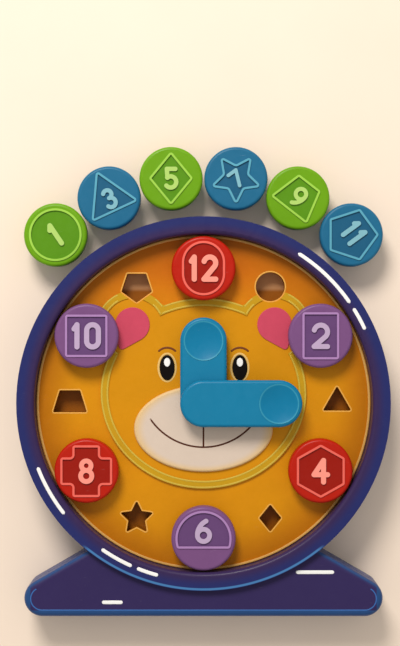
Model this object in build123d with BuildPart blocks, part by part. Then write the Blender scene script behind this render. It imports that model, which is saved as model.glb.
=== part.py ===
from build123d import *
import math
import os

os.makedirs("parts", exist_ok=True)

# A shape-sorting teaching clock lying on its back: +Z out of the dial, +Y towards twelve, +X towards three.
# The origin is on the hands' axis in the plane of the back. All sizes are in millimetres.

# Housing
body_diameter = 224
ring_width = 10.5
wall = 2.5
floor_thickness = 2.5
back_depth = 18
front_depth = 16
crown_outer_round = 4
crown_inner_round = 2.4
back_round = 3
seam_chamfer = 0.4
lip_thickness = 1.2
lip_height = 1.5
fit_gap = 0.2

# Foot that the clock stands on
foot_width = 216
foot_below = 16.5
foot_end_height = 22
foot_step = 4
foot_round = 3.4
shoulder_slope = 30
shoulder_run = 50

# Dial
dial_height = 22
dial_thickness = 2.5
dial_margin = 4.5
dial_lip_width = 1.4
dial_lip_height = 1
dial_lip_gap = 0.4
dial_lip_chamfer = 0.3
shelf_inset = 1.5

# Screws that hold the two shells together
boss_diameter = 8.8
front_boss_diameter = 6
screw_diameter = 3
screw_hole_gap = 0.2
screw_head_diameter = 5.6
screw_head_height = 2.2
head_recess_gap = 0.5
boss_ledge = 9
screw_length = 17
pilot_clearance = 1
head_round_share = 0.4
cross_share = 0.6
slot_width = 0.9
slot_depth = 0.7
ring_boss_angles = [15, 75, 105, 165, 205, 335]
foot_boss_x = 84

# Sockets and number pieces
disc_gap = 3.43
disc_ring_gap = 1.25
disc_thickness = 8.8
disc_top_round = 1.9
disc_bottom_round = 1.4
disc_float = 2.2
socket_depth = 10
cup_wall = 1.6
plug_gap = 0.6
plug_chamfer = 0.4
hole_corner = 0.6
seat_gap = 0.2
outline_stroke = 1.3
outline_corner = 1.6
relief_height = 0.6
panel_depth = 0.35
stroke_share = 0.19
digit_gap_share = 0.1
narrow_share = 0.36
wide_share = 0.7
paired_share = 0.62
star_notch_share = 0.5
cross_arm_share = 0.267
trapezoid_top_share = 0.6
trapezoid_drop_share = 0.45

# Loose pieces laid out in an arc above twelve
loose_ring_gap = 6.25
loose_arc_centre = 6.5
loose_gap = 1

# Bear's head
head_width = 124.6
head_height = 115.4
head_centre = 5.6
head_thickness = 1.6
ear_radius = 22.4
ear_x = 42.6
ear_y = 45.4
face_sink = 0.6
face_width = 115
face_height = 105.6
face_centre = 5.6
ear_rim = 4.6
ear_blend = 2.5
hole_margin = 0.8
inner_ear_margin = 1.2
inner_ear_x = 43
inner_ear_y = 47.2
inner_ear_radius = 10.4
inner_ear_tip_x = 49.2
inner_ear_tip_y = 34.4
inner_ear_tip_radius = 2.2
inner_ear_rise = 0.7
inlay_round_share = 0.4
peg_diameter = 4
peg_gap = 0.15
peg_x = 38
peg_y = 24
peg_reach = 1.2

# Eyes, muzzle and mouth
eye_x = 22
eye_y = 21.2
eye_width = 9
eye_height = 15.2
eye_rise = 0.9
muzzle_width = 84
muzzle_height = 52.4
muzzle_centre = -15.7
muzzle_rise = 2
muzzle_round = 1.5
mouth_half_width = 32
mouth_corner_y = -10
mouth_bottom_y = -26.9
mouth_line_width = 1.1
mouth_line_depth = 0.5

# Hands and the spindle they turn on
hand_width = 28
hand_tip_gap = 2.75
hour_shortfall = 7.5
hand_thickness = 5.2
hand_round = 2
hand_under_round = 0.5
hand_lift = 4.8
dimple_diameter = 22
dimple_depth = 1.5
dimple_rim_width = 0.9
dimple_rim_height = 0.35
hub_diameter = 18
hub_hole_gap = 0.4
hub_rise = 4.5
bush_bottom = 8
bush_fit_gap = 0.03
collar_width = 1.5
collar_height = 2.5
sleeve_diameter = 12
stem_diameter = 7
running_gap = 0.08
axial_gap = 0.3
thread_gap = 0.03
hand_gap = 0.8
washer_diameter = 18
friction_washer_thickness = 0.5
retainer_diameter = 17
retainer_thickness = 2
end_washer_diameter = 13
end_washer_thickness = 0.8
washer_chamfer_share = 0.2
spindle_screw_diameter = 3
spindle_screw_head_diameter = 6
spindle_screw_head_height = 1.4
spindle_screw_length = 9

# The discs fill the circle of twelve: each is as wide as the gaps to the ring and between neighbours allow.
body_radius = body_diameter / 2
opening_radius = body_radius - ring_width
neighbour_share = 2 * math.sin(math.pi / 12)
disc_diameter = (neighbour_share * (opening_radius - disc_ring_gap) - disc_gap) / (1 + neighbour_share / 2)
disc_radius = disc_diameter / 2
number_circle_radius = opening_radius - disc_ring_gap - disc_radius
minute_reach = number_circle_radius - disc_radius - hand_tip_gap
hour_reach = minute_reach - hour_shortfall
loose_arc_radius = body_radius + disc_radius + loose_ring_gap - loose_arc_centre

# Heights and radii worked out from the sizes above
crown_height = back_depth + front_depth
foot_front = crown_height - foot_step
foot_centre_y = foot_end_height / 2 - body_radius - foot_below
foot_end_radius = foot_end_height / 2
dial_bottom = dial_height - dial_thickness
dial_radius = body_radius - dial_margin
shelf_radius = opening_radius - shelf_inset
lip_radius = body_radius - wall - fit_gap
boss_circle = body_radius - wall - boss_diameter / 2 - fit_gap
disc_underside = dial_height + disc_float
plug_height = disc_float + socket_depth - seat_gap
face_level = dial_height + head_thickness - face_sink
hub_top = dial_height + hub_rise
hour_bottom = dial_height + hand_lift
hour_top = hour_bottom + hand_thickness
minute_bottom = hour_top + hand_gap
hub_radius = hub_diameter / 2
hub_hole_radius = hub_radius + hub_hole_gap
sleeve_radius = sleeve_diameter / 2
stem_radius = stem_diameter / 2
retainer_top = bush_bottom - axial_gap
sleeve_end = retainer_top - retainer_thickness
stem_end = sleeve_end - axial_gap


# Every number: its shape, then the outline on the disc, the hole in the dial, the figure's height and the
# height of the figure's middle, all as shares of the disc's diameter
number_shapes = {
    1: dict(shape="circle", outline=(0.831, 0.831), hole=(0.455, 0.455), digit=0.41, digit_y=0),
    2: dict(shape="rectangle", outline=(0.571, 0.732), hole=(0.325, 0.429), digit=0.41, digit_y=0),
    3: dict(shape="triangle", outline=(0.826, 0.716), hole=(0.447, 0.387), digit=0.345, digit_y=-0.018),
    4: dict(shape="hexagon", outline=(0.743, 0.831), hole=(0.405, 0.455), digit=0.415, digit_y=0),
    5: dict(shape="diamond", outline=(0.701, 0.857), hole=(0.348, 0.431), digit=0.364, digit_y=0),
    6: dict(shape="dome", outline=(0.873, 0.587), hole=(0.468, 0.314), digit=0.39, digit_y=0.119),
    7: dict(shape="star", outline=(0.868, 0.868), hole=(0.55, 0.55), digit=0.29, digit_y=-0.01),
    8: dict(shape="cross", outline=(0.805, 0.805), hole=(0.442, 0.442), digit=0.395, digit_y=0),
    9: dict(shape="trapezoid", outline=(0.727, 0.545), hole=(0.535, 0.345), digit=0.338, digit_y=0.016),
    10: dict(shape="square", outline=(0.66, 0.66), hole=(0.364, 0.364), digit=0.425, digit_y=0),
    11: dict(shape="pentagon", outline=(0.821, 0.779), hole=(0.478, 0.455), digit=0.377, digit_y=0.042),
    12: dict(shape="oval", outline=(0.67, 0.845), hole=(0.377, 0.468), digit=0.425, digit_y=0),
}

# The odd numbers lie loose in the arc, left to right, each turned by its own angle.
loose_turns = {1: 34, 3: 25, 5: 0, 7: 36, 9: -38, 11: -54}


# Plain outlines, centred where the disc is centred

def polygon(points):
    with BuildSketch(mode=Mode.PRIVATE) as shape:
        with BuildLine():
            Polyline(*points, close=True)
        make_face()
    return shape.sketch


def star_points(width):
    tip_radius = width / 2
    notch_radius = tip_radius * star_notch_share
    points = []
    for step in range(10):
        radius = tip_radius if step % 2 == 0 else notch_radius
        angle = math.radians(90 + 36 * step)
        points.append((radius * math.cos(angle), radius * math.sin(angle)))
    return points


def cross_points(width, height):
    arm = width * cross_arm_share
    half = width / 2
    top = height / 2
    quarter = [(arm, top), (arm, arm), (half, arm)]
    lower = [(x, -y) for x, y in reversed(quarter)]
    left = [(-x, -y) for x, y in quarter]
    upper = [(-x, y) for x, y in reversed(quarter)]
    return quarter + lower + left + upper


def dome(width, height):
    radius = width / 2
    with BuildSketch(mode=Mode.PRIVATE) as shape:
        Circle(radius)
        with Locations((0, radius - height)):
            Rectangle(width, width, align=(Align.CENTER, Align.MAX), mode=Mode.SUBTRACT)
    return shape.sketch


def plain_shape(kind, width, height):
    half = width / 2
    top = height / 2
    if kind == "circle":
        with BuildSketch(mode=Mode.PRIVATE) as shape:
            Circle(half)
        return shape.sketch
    if kind == "oval":
        with BuildSketch(mode=Mode.PRIVATE) as shape:
            SlotOverall(height, width, rotation=90)
        return shape.sketch
    if kind == "dome":
        return dome(width, height)
    if kind in ("rectangle", "square"):
        return polygon([(half, top), (half, -top), (-half, -top), (-half, top)])
    if kind == "triangle":
        return polygon([(0, height * 2 / 3), (half, -height / 3), (-half, -height / 3)])
    if kind == "diamond":
        return polygon([(0, top), (half, 0), (0, -top), (-half, 0)])
    if kind == "hexagon":
        side = [(half, top / 2), (half, -top / 2)]
        return polygon([(0, top), *side, (0, -top), *[(-x, -y) for x, y in side]])
    if kind == "trapezoid":
        short = half * trapezoid_top_share
        low = -height * trapezoid_drop_share
        return polygon([(short, low + height), (half, low), (-half, low), (-short, low + height)])
    if kind == "pentagon":
        radius = height / (1 + math.cos(math.radians(36)))
        corners = [math.radians(-90 + 72 * step) for step in range(5)]
        return polygon([(radius * math.cos(angle), radius * math.sin(angle)) for angle in corners])
    if kind == "star":
        return polygon(star_points(width))
    return polygon(cross_points(width, height))


def rounded_shape(kind, shares, corner, grow=0):
    with BuildSketch(mode=Mode.PRIVATE) as shape:
        add(plain_shape(kind, shares[0] * disc_diameter, shares[1] * disc_diameter))
        if kind not in ("circle", "oval"):
            fillet(shape.vertices(), corner)
        if grow != 0:
            offset(amount=grow)
    return shape.sketch


# Figures drawn as round-ended strokes, placed by shares of half the figure's width and height

def digit_paths(digit, half_width, half_height):
    a = half_width
    b = half_height
    with BuildLine(mode=Mode.PRIVATE) as path:
        if digit == "0":
            CenterArc((0, b - a), a, 0, 180)
            Line((-a, b - a), (-a, a - b))
            CenterArc((0, a - b), a, 180, 180)
            Line((a, a - b), (a, b - a))
        elif digit == "1":
            Line((-a, b * 0.62), (a * 0.25, b))
            Line((a * 0.25, b), (a * 0.25, -b))
        elif digit == "2":
            CenterArc((0, b - a), a, 165, -207)
            turn = math.radians(-42)
            Line((a * math.cos(turn), b - a + a * math.sin(turn)), (-a, -b))
            Line((-a, -b), (a, -b))
        elif digit == "3":
            top = b * 0.47
            low = b * 0.53
            CenterArc((0, b - top), top, 150, -240)
            CenterArc((0, low - b), low, 90, -240)
        elif digit == "4":
            Line((a * 0.4, b), (-a, -b * 0.32))
            Line((-a, -b * 0.32), (a, -b * 0.32))
            Line((a * 0.4, b), (a * 0.4, -b))
        elif digit == "5":
            bowl = b * 0.6
            Line((a * 0.75, b), (-a * 0.7, b))
            Line((-a * 0.7, b), (-bowl * 0.62, bowl * 1.75 - b))
            CenterArc((-a * 0.05, bowl - b), bowl, 128, -268)
        elif digit in ("6", "9"):
            side = 1 if digit == "6" else -1
            bowl = b * 0.6
            bowl_y = side * (bowl - b)
            tail = (side * a * 0.4, side * b)
            ThreePointArc((-side * bowl, bowl_y), (-side * bowl * 0.66, side * b * 0.4), tail)
        elif digit == "7":
            Line((-a, b), (a, b))
            Line((a, b), (-a * 0.3, -b))
    return path.edges()


# Closed loops of a figure: radius and height of each, as shares of half its height

digit_loops = {"6": [(0.6, -0.4)], "8": [(0.46, 0.54), (0.54, -0.46)], "9": [(0.6, 0.4)]}


def loop(radius, stroke):
    with BuildSketch(mode=Mode.PRIVATE) as ring:
        Circle(radius + stroke / 2)
        Circle(radius - stroke / 2, mode=Mode.SUBTRACT)
    return ring.sketch


def number_sketch(number, height, centre_y):
    stroke = height * stroke_share
    narrow = height * narrow_share
    wide = height * (wide_share if number < 10 else paired_share)
    gap = height * digit_gap_share
    digits = str(number)
    widths = [narrow if digit == "1" else wide for digit in digits]
    left = -(sum(widths) + gap * (len(digits) - 1)) / 2
    with BuildSketch(mode=Mode.PRIVATE) as figure:
        for digit, width in zip(digits, widths):
            half_height = (height - stroke) / 2
            with Locations((left + width / 2, centre_y)):
                for edge in digit_paths(digit, (width - stroke) / 2, half_height):
                    SlotArc(edge, stroke)
            for radius, y in digit_loops.get(digit, []):
                with Locations((left + width / 2, centre_y + y * half_height)):
                    add(loop(radius * half_height, stroke))
            left += width + gap
    return figure.sketch


# The housing seen from the front: a circle and a round-ended foot whose shoulders slope up into it

def foot_outline(inset):
    slope = math.radians(shoulder_slope)
    end_x = foot_width / 2 - foot_end_radius
    touch_x = end_x + foot_end_radius * math.sin(slope)
    touch_y = foot_centre_y + foot_end_radius * math.cos(slope)
    inner_x = touch_x - shoulder_run * math.cos(slope)
    inner_y = touch_y + shoulder_run * math.sin(slope)
    with BuildSketch(mode=Mode.PRIVATE) as outline:
        with Locations((0, foot_centre_y)):
            SlotOverall(foot_width, foot_end_height)
        with BuildLine():
            Polyline(
                (touch_x, touch_y), (inner_x, inner_y), (-inner_x, inner_y), (-touch_x, touch_y),
                (-end_x, foot_centre_y), (end_x, foot_centre_y), close=True,
            )
        make_face()
        if inset != 0:
            offset(amount=-inset)
    return outline.sketch


# Places shared by both shells' bosses, the notches in the dial and the screws

ring_boss_places = []
for boss_angle in ring_boss_angles:
    boss_turn = math.radians(boss_angle)
    ring_boss_places.append((boss_circle * math.cos(boss_turn), boss_circle * math.sin(boss_turn)))
foot_boss_places = [(-foot_boss_x, foot_centre_y), (foot_boss_x, foot_centre_y)]
boss_places = ring_boss_places + foot_boss_places


# Rear housing

with BuildPart() as rear_housing:
    with BuildSketch():
        Circle(body_radius)
        add(foot_outline(0))
    extrude(amount=back_depth)
    fillet(rear_housing.faces().sort_by(Axis.Z)[0].edges(), back_round)
    chamfer(rear_housing.faces().sort_by(Axis.Z)[-1].edges(), seam_chamfer)
    with BuildSketch(Plane.XY.offset(floor_thickness)):
        add(foot_outline(wall))
        Circle(body_radius, mode=Mode.SUBTRACT)
        Circle(body_radius - wall)
    extrude(amount=back_depth, mode=Mode.SUBTRACT)
    with BuildSketch(Plane.XY.offset(floor_thickness)):
        Circle(shelf_radius)
        Circle(shelf_radius - wall, mode=Mode.SUBTRACT)
    extrude(amount=dial_bottom - floor_thickness)
    with BuildSketch(Plane.XY.offset(back_depth - lip_height)):
        Circle(lip_radius)
        Circle(lip_radius - lip_thickness, mode=Mode.SUBTRACT)
    extrude(amount=lip_height * 2)
    with BuildSketch(Plane.XY.offset(back_depth - lip_height)):
        Circle(body_radius - wall / 2)
        Circle(lip_radius - lip_thickness, mode=Mode.SUBTRACT)
    extrude(amount=-lip_height)
    with BuildSketch(Plane.XY.offset(floor_thickness)):
        with Locations(*boss_places):
            Circle(boss_diameter / 2)
    extrude(amount=back_depth - floor_thickness)
    with Locations(*[Location((x, y, 0), (180, 0, 0)) for x, y in boss_places]):
        CounterBoreHole(
            screw_diameter / 2 + screw_hole_gap, screw_head_diameter / 2 + head_recess_gap,
            boss_ledge, depth=back_depth,
        )
rear_housing.part.label = "rear_housing"
export_step(rear_housing.part, "parts/rear_housing.step")


# Front bezel: the ring round the dial with the foot's front cover

with BuildPart() as front_bezel:
    with BuildSketch(Plane.XY.offset(back_depth)):
        add(foot_outline(0))
    extrude(amount=foot_front - back_depth)
    chamfer(front_bezel.faces().sort_by(Axis.Z)[0].edges(), seam_chamfer)
    fillet(front_bezel.faces().sort_by(Axis.Z)[-1].edges(), foot_round)
    with BuildSketch(Plane.XY.offset(back_depth)):
        add(foot_outline(wall))
    extrude(amount=foot_front - back_depth - wall, mode=Mode.SUBTRACT)
    with BuildSketch(Plane.XY.offset(back_depth)):
        Circle(body_radius - wall / 2)
    extrude(amount=crown_height, mode=Mode.SUBTRACT)
    with BuildSketch(Plane.XZ) as ring_profile:
        with BuildLine():
            Polyline(
                (body_radius - wall, back_depth), (body_radius - seam_chamfer, back_depth),
                (body_radius, back_depth + seam_chamfer), (body_radius, crown_height),
                (opening_radius, crown_height), (opening_radius, dial_height),
                (opening_radius + wall, dial_height), (opening_radius + wall, crown_height - wall),
                (body_radius - wall, crown_height - wall), close=True,
            )
        make_face()
        crown_corners = ring_profile.vertices().group_by(Axis.Y)[-1].sort_by(Axis.X)
        fillet(crown_corners[0], crown_inner_round)
        fillet(crown_corners[-1], crown_outer_round)
    revolve(axis=Axis.Z)
    with BuildSketch(Plane.XY.offset(back_depth)):
        with Locations(*ring_boss_places):
            Circle(front_boss_diameter / 2)
    extrude(amount=crown_height - wall - back_depth)
    with BuildSketch(Plane.XY.offset(back_depth)):
        with Locations(*foot_boss_places):
            Circle(front_boss_diameter / 2)
    extrude(amount=foot_front - wall - back_depth)
    pilot_depth = boss_ledge + screw_length - back_depth + pilot_clearance
    with BuildSketch(Plane.XY.offset(back_depth)):
        with Locations(*boss_places):
            Circle(screw_diameter / 2 + thread_gap)
    extrude(amount=pilot_depth, mode=Mode.SUBTRACT)
front_bezel.part.label = "front_bezel"
export_step(front_bezel.part, "parts/front_bezel.step")


# Sockets: a shaped hole in the dial with a closed cup below it

def number_place(number):
    turn = math.radians(90 - 30 * number)
    return number_circle_radius * math.cos(turn), number_circle_radius * math.sin(turn)


with BuildPart() as dial_plate:
    with BuildSketch(Plane.XY.offset(dial_bottom)):
        Circle(dial_radius)
        with Locations(*ring_boss_places):
            Circle(front_boss_diameter / 2 + fit_gap * 2, mode=Mode.SUBTRACT)
    extrude(amount=dial_thickness)
    with BuildSketch(Plane.XY.offset(dial_height)):
        Circle(opening_radius - dial_lip_gap)
        Circle(opening_radius - dial_lip_gap - dial_lip_width, mode=Mode.SUBTRACT)
    extrude(amount=dial_lip_height)
    chamfer(dial_plate.faces().sort_by(Axis.Z)[-1].edges(), dial_lip_chamfer)
    with BuildSketch(Plane.XY.offset(dial_height - socket_depth - cup_wall)):
        for number, piece in number_shapes.items():
            with Locations(number_place(number)):
                add(rounded_shape(piece["shape"], piece["hole"], hole_corner, cup_wall))
    extrude(amount=socket_depth + cup_wall - dial_thickness)
    with BuildSketch(Plane.XY.offset(dial_height - socket_depth)):
        for number, piece in number_shapes.items():
            with Locations(number_place(number)):
                add(rounded_shape(piece["shape"], piece["hole"], hole_corner))
    extrude(amount=socket_depth, mode=Mode.SUBTRACT)
    with BuildSketch(Plane.XY.offset(dial_bottom)):
        Circle(hub_radius + bush_fit_gap)
        with GridLocations(peg_x * 2, peg_y * 2, 2, 2):
            Circle(peg_diameter / 2 + peg_gap)
    extrude(amount=dial_thickness, mode=Mode.SUBTRACT)
dial_plate.part.label = "dial_plate"
export_step(dial_plate.part, "parts/dial_plate.step")


# Bush pushed up through the dial until its collar meets the back of it

with BuildPart() as hub_bush:
    with BuildSketch(Plane.XY.offset(bush_bottom)):
        Circle(hub_radius)
    extrude(amount=hub_top - bush_bottom)
    with BuildSketch(Plane.XY.offset(dial_bottom)):
        Circle(hub_radius + collar_width)
    extrude(amount=-collar_height)
    with BuildSketch(Plane.XY.offset(bush_bottom)):
        Circle(sleeve_radius + running_gap)
    extrude(amount=hub_top - bush_bottom, mode=Mode.SUBTRACT)
hub_bush.part.label = "hub_bush"
export_step(hub_bush.part, "parts/hub_bush.step")


# Bear's head: a plate with a raised rim, pegged through the dial

def head_outline():
    with BuildSketch(mode=Mode.PRIVATE) as outline:
        with Locations((0, head_centre)):
            Ellipse(head_width / 2, head_height / 2)
        with Locations((-ear_x, ear_y), (ear_x, ear_y)):
            Circle(ear_radius)
        fillet(outline.vertices().filter_by(lambda corner: corner.Y > ear_y - ear_radius), ear_blend)
        for number, piece in number_shapes.items():
            hole = rounded_shape(piece["shape"], piece["hole"], hole_corner, hole_margin)
            with Locations(number_place(number)):
                add(hole, mode=Mode.SUBTRACT)
    return outline.sketch


def inner_ear_outline(side, grow=0):
    with BuildSketch(mode=Mode.PRIVATE) as outline:
        with Locations((side * inner_ear_x, inner_ear_y)):
            Circle(inner_ear_radius + grow)
        with Locations((side * inner_ear_tip_x, inner_ear_tip_y)):
            Circle(inner_ear_tip_radius + grow)
        make_hull()
    return outline.sketch


with BuildPart() as bear_head:
    with BuildSketch(Plane.XY.offset(dial_height)):
        add(head_outline())
        Circle(hub_hole_radius, mode=Mode.SUBTRACT)
    extrude(amount=head_thickness)
    with BuildSketch(Plane.XY.offset(face_level)):
        with Locations((0, face_centre)):
            Ellipse(face_width / 2, face_height / 2)
        with Locations((-ear_x, ear_y), (ear_x, ear_y)):
            Circle(ear_radius - ear_rim)
        add(inner_ear_outline(-1, inner_ear_margin))
        add(inner_ear_outline(1, inner_ear_margin))
    extrude(amount=face_sink, mode=Mode.SUBTRACT)
    with BuildSketch(Plane.XY.offset(dial_height)):
        with GridLocations(peg_x * 2, peg_y * 2, 2, 2):
            Circle(peg_diameter / 2)
    extrude(amount=-dial_thickness - peg_reach)
bear_head.part.label = "bear_head"
export_step(bear_head.part, "parts/bear_head.step")


# Inlays of the face: inner ears, eyes and a muzzle with the mouth cut into it

def inner_ear(side):
    with BuildPart() as inlay:
        with BuildSketch(Plane.XY.offset(face_level)):
            add(inner_ear_outline(side))
        extrude(amount=inner_ear_rise)
        fillet(inlay.faces().sort_by(Axis.Z)[-1].edges(), inner_ear_rise * inlay_round_share)
    return inlay.part


def eye(side):
    with BuildPart() as inlay:
        with BuildSketch(Plane.XY.offset(face_level)):
            with Locations((side * eye_x, eye_y)):
                Ellipse(eye_width / 2, eye_height / 2)
        extrude(amount=eye_rise)
        fillet(inlay.faces().sort_by(Axis.Z)[-1].edges(), eye_rise * inlay_round_share)
    return inlay.part


for side_name, side in (("left", -1), ("right", 1)):
    ear_part = inner_ear(side)
    ear_part.label = side_name + "_inner_ear"
    export_step(ear_part, "parts/" + side_name + "_inner_ear.step")
    eye_part = eye(side)
    eye_part.label = side_name + "_eye"
    export_step(eye_part, "parts/" + side_name + "_eye.step")

with BuildPart() as muzzle:
    with BuildSketch(Plane.XY.offset(face_level)):
        with Locations((0, muzzle_centre)):
            Ellipse(muzzle_width / 2, muzzle_height / 2)
    extrude(amount=muzzle_rise)
    fillet(muzzle.faces().sort_by(Axis.Z)[-1].edges(), muzzle_round)
    with BuildSketch(Plane.XY.offset(face_level)):
        Circle(hub_hole_radius)
    extrude(amount=muzzle_rise, mode=Mode.SUBTRACT)
    with BuildSketch(Plane.XY.offset(face_level + muzzle_rise - mouth_line_depth)):
        with BuildLine(mode=Mode.PRIVATE) as smile:
            ThreePointArc(
                (-mouth_half_width, mouth_corner_y), (0, mouth_bottom_y), (mouth_half_width, mouth_corner_y)
            )
        SlotArc(smile.edges()[0], mouth_line_width)
        with Locations((0, mouth_bottom_y / 2)):
            Rectangle(mouth_line_width, -mouth_bottom_y)
    extrude(amount=muzzle_rise, mode=Mode.SUBTRACT)
muzzle.part.label = "muzzle"
export_step(muzzle.part, "parts/muzzle.step")


# Hands: a round-ended bar with a finger dimple at its tip, on a hollow sleeve or a stem

def hand_arm(level, reach, pointing):
    arm_plane = Plane(origin=(0, 0, level), x_dir=pointing, z_dir=(0, 0, 1))
    tip = reach - hand_width / 2
    dimple_radius = dimple_diameter / 2
    ball_radius = (dimple_radius ** 2 + dimple_depth ** 2) / (2 * dimple_depth)
    with BuildPart(mode=Mode.PRIVATE) as arm:
        with BuildSketch(arm_plane):
            with Locations((tip / 2, 0)):
                SlotCenterToCenter(tip, hand_width)
        extrude(amount=hand_thickness)
        fillet(arm.faces().sort_by(Axis.Z)[-1].edges(), hand_round)
        fillet(arm.faces().sort_by(Axis.Z)[0].edges(), hand_under_round)
        with BuildSketch(arm_plane.offset(hand_thickness)):
            with Locations((tip, 0)):
                Circle(dimple_radius + dimple_rim_width)
                Circle(dimple_radius, mode=Mode.SUBTRACT)
        extrude(amount=dimple_rim_height)
        ball_plane = arm_plane.offset(hand_thickness - dimple_depth + ball_radius)
        with Locations(ball_plane.location * Pos(tip, 0, 0)):
            Sphere(ball_radius, mode=Mode.SUBTRACT)
    return arm.part


hour_arm = hand_arm(hour_bottom, hour_reach, (0, 1, 0))
with BuildPart() as hour_hand:
    add(hour_arm)
    with BuildSketch(Plane.XY.offset(sleeve_end)):
        Circle(sleeve_radius)
    extrude(amount=hour_bottom - sleeve_end)
    with BuildSketch(Plane.XY.offset(sleeve_end)):
        Circle(stem_radius + running_gap)
    extrude(amount=hour_top - sleeve_end, mode=Mode.SUBTRACT)
hour_hand.part.label = "hour_hand"
export_step(hour_hand.part, "parts/hour_hand.step")

screw_top = stem_end - end_washer_thickness + spindle_screw_length
minute_arm = hand_arm(minute_bottom, minute_reach, (1, 0, 0))
with BuildPart() as minute_hand:
    add(minute_arm)
    with BuildSketch(Plane.XY.offset(stem_end)):
        Circle(stem_radius)
    extrude(amount=minute_bottom - stem_end)
    with BuildSketch(Plane.XY.offset(stem_end)):
        Circle(spindle_screw_diameter / 2 + thread_gap)
    extrude(amount=screw_top + axial_gap - stem_end, mode=Mode.SUBTRACT)
minute_hand.part.label = "minute_hand"
export_step(minute_hand.part, "parts/minute_hand.step")


# Washers and the push-on ring of the spindle

def washer(level, thickness, diameter, hole_radius):
    with BuildPart() as ring:
        with BuildSketch(Plane.XY.offset(level)):
            Circle(diameter / 2)
            Circle(hole_radius, mode=Mode.SUBTRACT)
        extrude(amount=thickness)
        chamfer(ring.faces().sort_by(Axis.Z)[0].outer_wire().edges(), thickness * washer_chamfer_share)
    return ring.part


friction_washer = washer(
    minute_bottom - friction_washer_thickness, friction_washer_thickness, washer_diameter,
    stem_radius + running_gap,
)
friction_washer.label = "friction_washer"
export_step(friction_washer, "parts/friction_washer.step")
hour_retainer = washer(sleeve_end, retainer_thickness, retainer_diameter, sleeve_radius + thread_gap)
hour_retainer.label = "hour_retaining_ring"
export_step(hour_retainer, "parts/hour_retaining_ring.step")
end_washer = washer(
    stem_end - end_washer_thickness, end_washer_thickness, end_washer_diameter,
    spindle_screw_diameter / 2 + thread_gap,
)
end_washer.label = "spindle_washer"
export_step(end_washer, "parts/spindle_washer.step")


# Cross-headed screws, driven in from the back

def screws(places, head_top, head_height, head_diameter, shank_diameter, shank_length):
    with BuildPart() as fasteners:
        with BuildSketch(Plane.XY.offset(head_top - head_height)):
            with Locations(*places):
                Circle(head_diameter / 2)
        extrude(amount=head_height)
        head_rims = fasteners.edges().filter_by(GeomType.CIRCLE).group_by(Axis.Z)[0]
        fillet(head_rims, head_height * head_round_share)
        with BuildSketch(Plane.XY.offset(head_top)):
            with Locations(*places):
                Circle(shank_diameter / 2)
        extrude(amount=shank_length)
        with BuildSketch(Plane.XY.offset(head_top - head_height)):
            with Locations(*places):
                Rectangle(head_diameter * cross_share, slot_width)
                Rectangle(slot_width, head_diameter * cross_share)
        extrude(amount=slot_depth, mode=Mode.SUBTRACT)
    return fasteners.part


spindle_screw = screws(
    [(0, 0)], stem_end - end_washer_thickness, spindle_screw_head_height, spindle_screw_head_diameter,
    spindle_screw_diameter, spindle_screw_length,
)
spindle_screw.label = "spindle_screw"
export_step(spindle_screw, "parts/spindle_screw.step")
housing_screws = screws(
    boss_places, boss_ledge, screw_head_height, screw_head_diameter, screw_diameter, screw_length
)
housing_screws.label = "housing_screws"
export_step(housing_screws, "parts/housing_screws.step")


# Number pieces: a round-edged disc with a shaped plug below it, and on top the same shape in outline,
# with the figure inside

def number_piece(number, base):
    piece = number_shapes[number]
    plug = rounded_shape(piece["shape"], piece["hole"], hole_corner, -plug_gap)
    panel = rounded_shape(piece["shape"], piece["outline"], outline_corner)
    figure = number_sketch(number, piece["digit"] * disc_diameter, piece["digit_y"] * disc_diameter)
    top = plug_height + disc_thickness
    with BuildPart() as solid:
        with BuildSketch(base):
            add(plug)
        extrude(amount=plug_height)
        chamfer(solid.faces().sort_by(Axis.Z)[0].edges(), plug_chamfer)
        with BuildSketch(base.offset(plug_height)):
            Circle(disc_radius)
        extrude(amount=disc_thickness)
        rims = solid.edges().filter_by(GeomType.CIRCLE).sort_by(SortBy.RADIUS)[-2:].sort_by(Axis.Z)
        fillet(rims[0], disc_bottom_round)
        fillet(solid.faces().sort_by(Axis.Z)[-1].edges(), disc_top_round)
        with BuildSketch(base.offset(top)):
            add(panel)
            offset(amount=-outline_stroke, mode=Mode.SUBTRACT)
        extrude(amount=relief_height)
        with BuildSketch(base.offset(top)):
            add(panel)
            offset(amount=-outline_stroke)
        extrude(amount=-panel_depth, mode=Mode.SUBTRACT)
        with BuildSketch(base.offset(top - panel_depth)):
            add(figure)
        extrude(amount=panel_depth + relief_height)
    return solid.part


def loose_place(order):
    step = 2 * math.asin((disc_diameter + loose_gap) / 2 / loose_arc_radius)
    turn = (order - (len(loose_turns) - 1) / 2) * step
    return loose_arc_radius * math.sin(turn), loose_arc_centre + loose_arc_radius * math.cos(turn)


loose_order = list(loose_turns)
for number in number_shapes:
    if number in loose_turns:
        place = loose_place(loose_order.index(number))
        level = 0
        turn = math.radians(loose_turns[number])
    else:
        place = number_place(number)
        level = disc_underside - plug_height
        turn = 0
    base = Plane(origin=(*place, level), x_dir=(math.cos(turn), math.sin(turn), 0), z_dir=(0, 0, 1))
    piece_part = number_piece(number, base)
    piece_part.label = f"number_piece_{number}"
    export_step(piece_part, f"parts/number_piece_{number}.step")
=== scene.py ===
import math

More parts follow.
